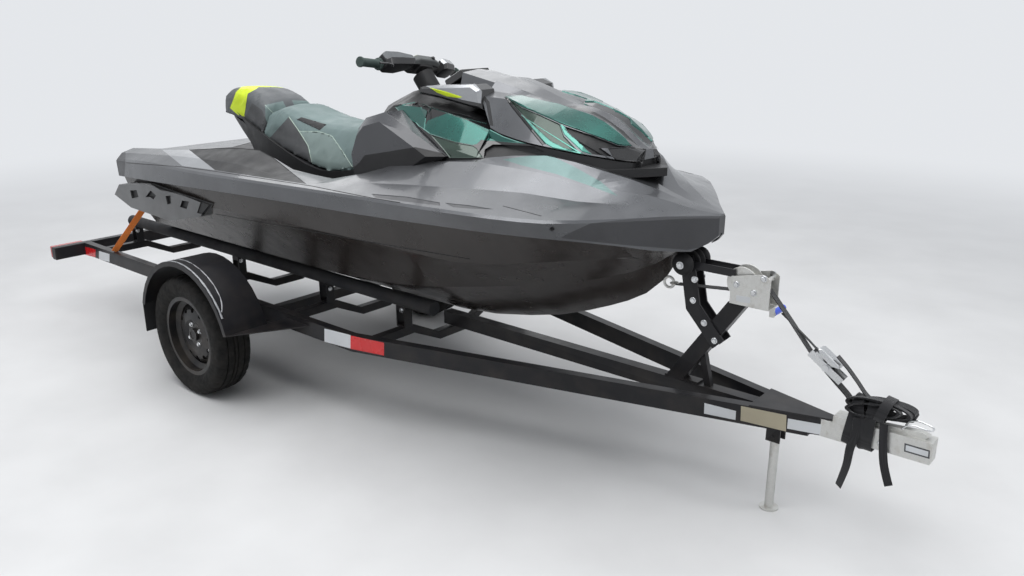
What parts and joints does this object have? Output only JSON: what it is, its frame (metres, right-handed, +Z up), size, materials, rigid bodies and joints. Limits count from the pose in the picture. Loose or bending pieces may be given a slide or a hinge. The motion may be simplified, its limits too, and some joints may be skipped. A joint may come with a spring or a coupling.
{
  "type": "personal watercraft on trailer",
  "caption": "Seated jet-driven watercraft with a long stepped saddle and handlebars, strapped on a low single-axle road trailer with carpeted bunks, winch post and prop leg.",
  "frame": {"origin": "on the ground under the middle of the whole length and width", "axes": "+X forward towards the tow coupler, +Y to port, +Z up"},
  "size_m": [4.7118, 1.696, 1.5785],
  "materials": {
    "hull_shell": "dark charcoal, glossy, road dust low down",
    "deck_shell": "satin metallic grey",
    "mats": "ribbed foam mat, matt",
    "bumper": "black, grained",
    "sponson": "black, satin",
    "zinc": "zinc plated, dull",
    "engine_block": "cast, grey",
    "hood_paint": "teal green metallic with black centre",
    "console_plastic": "black, fine grain",
    "lid_plastic": "black, fine grain",
    "panel_paint": "teal green metallic",
    "pod_plastic": "dark grey, satin",
    "mirror_shell": "black gloss with a yellow-green strip",
    "gauge_plastic": "black",
    "seat_cover": "teal grey vinyl, charcoal sides, light piping",
    "seat_side": "charcoal",
    "bar_black": "black, satin",
    "grip_rubber": "dark green grey, ribbed",
    "pump_alloy": "cast, dull",
    "impeller_steel": "stainless",
    "frame_paint": "satin black, dusty",
    "lamp_lens": "red lens",
    "spring_steel": "black, scaled",
    "bunk_tube": "black carpeted tube",
    "fender_paint": "satin black",
    "rim_paint": "black, satin",
    "tyre_rubber": "road tyre",
    "roller_rubber": "black",
    "flap_rubber": "black sheet rubber",
    "strap_orange": "orange webbing",
    "strap_black": "black webbing"
  },
  "bodies": {
    "craft_and_trailer": {"hull": "hull_shell", "deck": "deck_shell", "footwell_mats": "mats", "stern_bumper": "bumper", "sponsons": "sponson", "tow_eyes": "zinc", "engine": "engine_block", "console": "console_plastic", "side_panels": "panel_paint", "knee_pods": "pod_plastic", "splitter": "console_plastic", "gauge": "gauge_plastic", "seat_front": "seat_cover", "seat_rear": "seat_cover", "seat_base": "seat_side", "steering_column": "console_plastic", "jet_pump": "pump_alloy", "ride_plate": "pump_alloy", "intake_grate": "pump_alloy", "rails": "frame_paint", "spine": "frame_paint", "crossmembers": "frame_paint", "rear_bar": "frame_paint", "tail_lamps": "lamp_lens", "nose_plate": "frame_paint", "axle": "frame_paint", "springs": "spring_steel", "bunks": "bunk_tube", "bunk_brackets": "zinc", "fenders": "fender_paint", "mud_flaps": "flap_rubber", "winch_post": "frame_paint", "winch_frame": "zinc", "coupler": "zinc", "stern_strap": "strap_orange", "winch_strap": "strap_black", "bow_hook": "zinc"},
    "left_wheel": {"rim_left": "rim_paint", "tyre_left": "tyre_rubber"},
    "right_wheel": {"rim_right": "rim_paint", "tyre_right": "tyre_rubber"},
    "bars": {"handlebar": "bar_black", "grips": "grip_rubber"},
    "hood_lid": {"hood": "hood_paint", "mirrors": "mirror_shell"},
    "glovebox_door": {"glovebox_lid": "lid_plastic"},
    "impeller_rotor": {"impeller": "impeller_steel"},
    "nozzle": {"steering_nozzle": "pump_alloy"},
    "bucket": {"reverse_bucket": "pump_alloy"},
    "roller": {"bow_roller": "roller_rubber"},
    "drum": {"winch_drum": "zinc"},
    "crank": {"winch_crank": "zinc"},
    "leg": {"prop_leg": "zinc"}
  },
  "joints": [
    {"name": "left_wheel_spin", "type": "hinge", "parent": "craft_and_trailer", "child": "left_wheel", "pos_m": [-0.6721, 0.735, 0.286], "axis": [0, 1, 0], "continuous": true},
    {"name": "right_wheel_spin", "type": "hinge", "parent": "craft_and_trailer", "child": "right_wheel", "pos_m": [-0.6721, -0.735, 0.286], "axis": [0, 1, 0], "continuous": true},
    {"name": "steering", "type": "hinge", "parent": "craft_and_trailer", "child": "bars", "pos_m": [0.0879, 0, 1.486], "axis": [-0.6428, 0, 0.766], "range_deg": [-36, 14]},
    {"name": "hood_hinge", "type": "hinge", "parent": "craft_and_trailer", "child": "hood_lid", "pos_m": [1.2739, 0, 1.204], "axis": [0, 1, 0], "range_deg": [0, 50]},
    {"name": "glovebox_hinge", "type": "hinge", "parent": "craft_and_trailer", "child": "glovebox_door", "pos_m": [0.04172, 0, 1.35419], "axis": [0, -1, 0], "range_deg": [0, 85]},
    {"name": "impeller_spin", "type": "hinge", "parent": "craft_and_trailer", "child": "impeller_rotor", "pos_m": [-1.4171, 0, 0.535], "axis": [1, 0, 0], "continuous": true},
    {"name": "nozzle_pivot", "type": "hinge", "parent": "craft_and_trailer", "child": "nozzle", "pos_m": [-1.6071, 0, 0.535], "axis": [0, 0, 1], "range_deg": [-28.8, 11.2]},
    {"name": "bucket_pivot", "type": "hinge", "parent": "craft_and_trailer", "child": "bucket", "pos_m": [-1.6071, 0, 0.535], "axis": [0, -1, 0], "range_deg": [0, 75]},
    {"name": "roller_spin", "type": "hinge", "parent": "craft_and_trailer", "child": "roller", "pos_m": [1.4689, 0, 0.866], "axis": [0, 1, 0], "continuous": true},
    {"name": "crank_spin", "type": "hinge", "parent": "craft_and_trailer", "child": "crank", "pos_m": [1.7639, 0, 0.848], "axis": [0, 1, 0], "continuous": true},
    {"name": "drum_spin", "type": "hinge", "parent": "craft_and_trailer", "child": "drum", "pos_m": [1.6809, 0, 0.828], "axis": [0, 1, 0], "continuous": true},
    {"name": "leg_hinge", "type": "hinge", "parent": "craft_and_trailer", "child": "leg", "pos_m": [1.8429, 0, 0.292], "axis": [0, 1, 0], "range_deg": [0, 90]}
  ],
  "couplings": [
    {"joint": "nozzle_pivot", "follows": "steering", "ratio": 0.8},
    {"joint": "drum_spin", "follows": "crank_spin", "ratio": -0.25}
  ]
}
